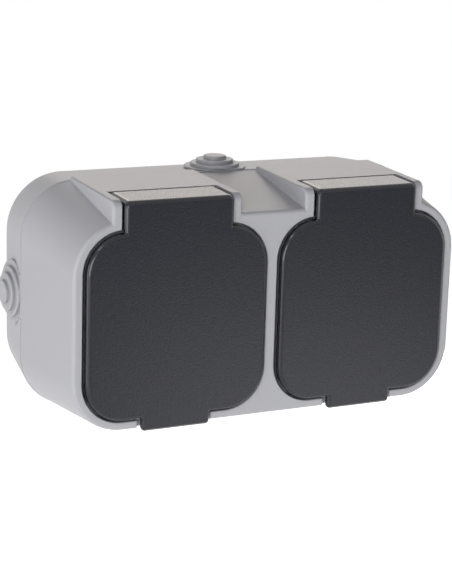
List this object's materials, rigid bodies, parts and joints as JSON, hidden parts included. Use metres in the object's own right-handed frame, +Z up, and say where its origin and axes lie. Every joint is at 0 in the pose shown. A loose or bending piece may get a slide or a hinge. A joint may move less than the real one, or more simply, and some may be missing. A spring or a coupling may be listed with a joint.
{
  "type": "double earthed wall socket",
  "caption": "Surface-mounted damp-room double socket: grey housing with cable grommets, sprung hinged lids over round plug wells, and contacts on a carrier inside.",
  "frame": {"origin": "centre of the back face, on the wall", "axes": "+X to the right seen from the front, +Y into the wall, +Z up"},
  "size_m": [0.1606, 0.0619, 0.0878],
  "materials": {
    "housing": "satin light grey",
    "lid": "fine-textured anthracite",
    "insert": "smooth grey",
    "grommet": "soft grey",
    "seal": "matt black",
    "carrier": "moulded cream",
    "steel": "zinc plated",
    "contact": "stamped strip"
  },
  "bodies": {
    "housing": {"rear_base": "housing", "front_cover": "housing", "socket_insert_left": "insert", "socket_insert_right": "insert", "cable_grommets": "grommet", "contact_carrier": "carrier", "hinge_pin_left": "steel", "hinge_pin_right": "steel", "lid_spring_left": "steel", "lid_spring_right": "steel", "insert_screws": "steel", "earth_rail": "contact", "earth_terminal": "contact", "live_terminal": "contact", "neutral_terminal": "contact", "earth_bracket_left": "contact", "earth_bracket_right": "contact", "live_rail": "contact", "neutral_rail": "contact", "live_contact_left": "contact", "live_contact_right": "contact", "neutral_contact_left": "contact", "neutral_contact_right": "contact"},
    "left_lid": {"lid_left": "lid", "lid_seal_left": "seal"},
    "right_lid": {"lid_right": "lid", "lid_seal_right": "seal"}
  },
  "joints": [
    {"name": "left_lid_hinge", "type": "hinge", "parent": "housing", "child": "left_lid", "pos_m": [-0.0355, -0.0502, 0.03626], "axis": [-1, 0, 0], "range_deg": [0, 95], "stiffness_Nm_per_rad": 0.02, "springref_deg": -28.65, "deforming": ["lid_spring_left"]},
    {"name": "right_lid_hinge", "type": "hinge", "parent": "housing", "child": "right_lid", "pos_m": [0.0355, -0.0502, 0.03626], "axis": [-1, 0, 0], "range_deg": [0, 95], "stiffness_Nm_per_rad": 0.02, "springref_deg": -28.65, "deforming": ["lid_spring_right"]}
  ]
}
